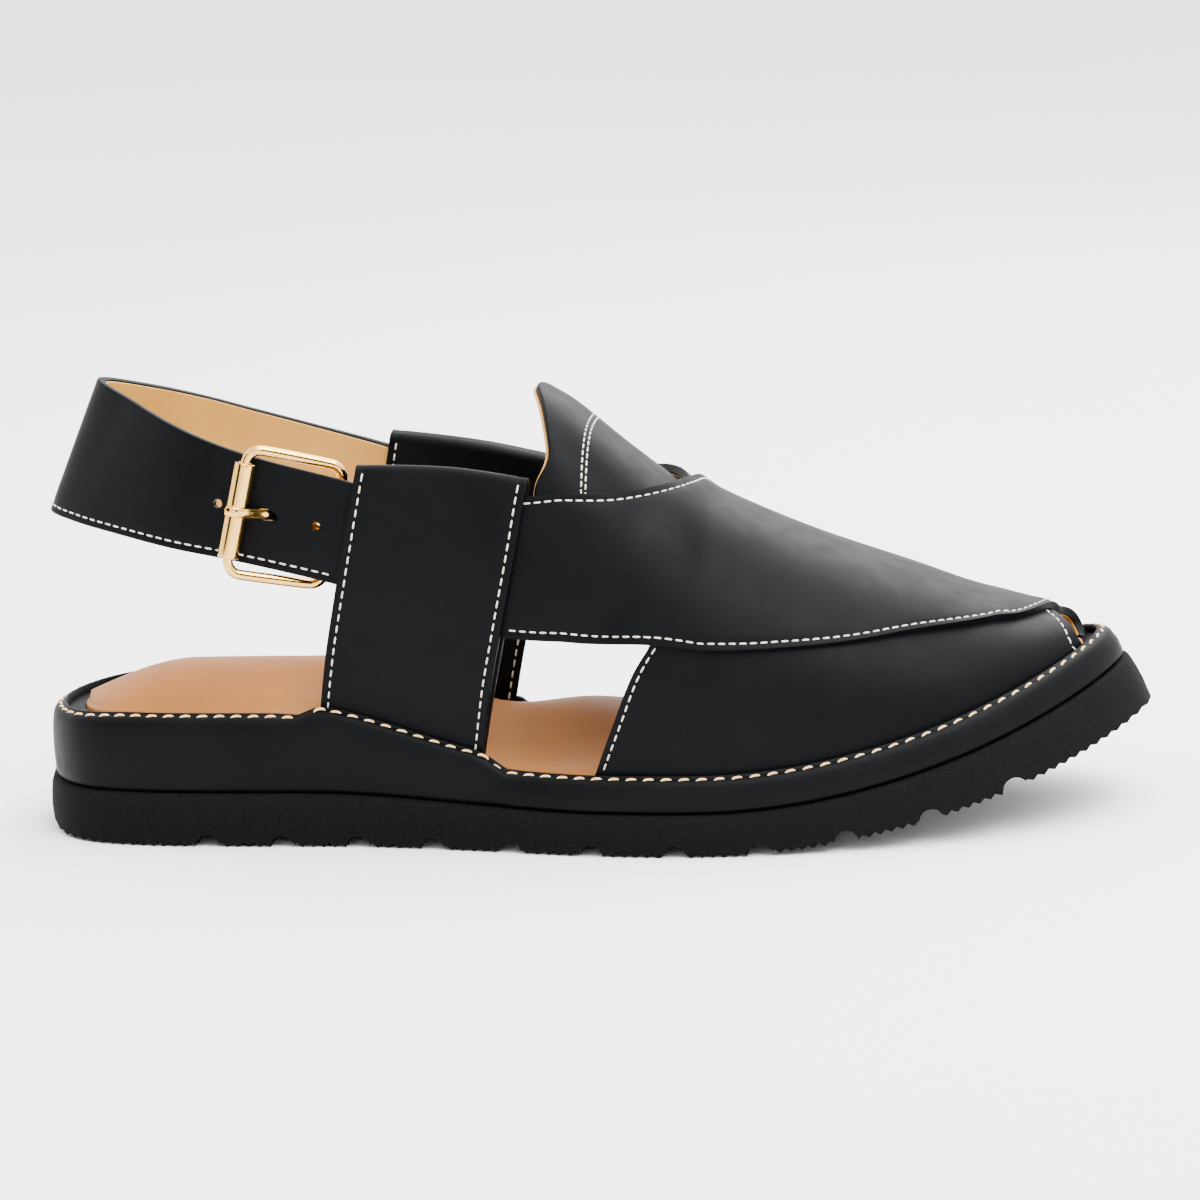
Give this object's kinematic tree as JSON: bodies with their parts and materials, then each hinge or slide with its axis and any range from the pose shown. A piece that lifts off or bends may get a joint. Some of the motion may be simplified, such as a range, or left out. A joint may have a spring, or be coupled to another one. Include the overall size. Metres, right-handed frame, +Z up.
{
  "type": "peshawari chappal sandal",
  "caption": "Right-foot leather sandal with crossed vamp straps, a peaked tongue, side bands, a buckled heel strap and a lugged rubber sole.",
  "frame": {"origin": "middle of the bounding box in X and Y, at the floor under the sole's flat lugs", "axes": "+X from heel to toe, +Y to the inner (medial) side of the foot, +Z up, standing empty on its sole"},
  "size_m": [0.2971, 0.1042, 0.1208],
  "materials": {
    "rubber": "matt fine-grained foam rubber",
    "black_leather": "smooth black leather with a soft shine",
    "tan_leather": "smooth tan leather",
    "buckle": "polished, gold colour"
  },
  "bodies": {
    "root": {"buckle_frame": "buckle", "buckle_loop_lower": "black_leather", "buckle_loop_upper": "black_leather", "buckle_prong": "buckle", "buckle_roller": "buckle", "heel_strap": "black_leather", "insole": "tan_leather", "midsole": "black_leather", "outsole": "rubber", "side_band_lateral": "black_leather", "side_band_medial": "black_leather", "tongue": "black_leather", "upper": "black_leather"}
  },
  "joints": []
}
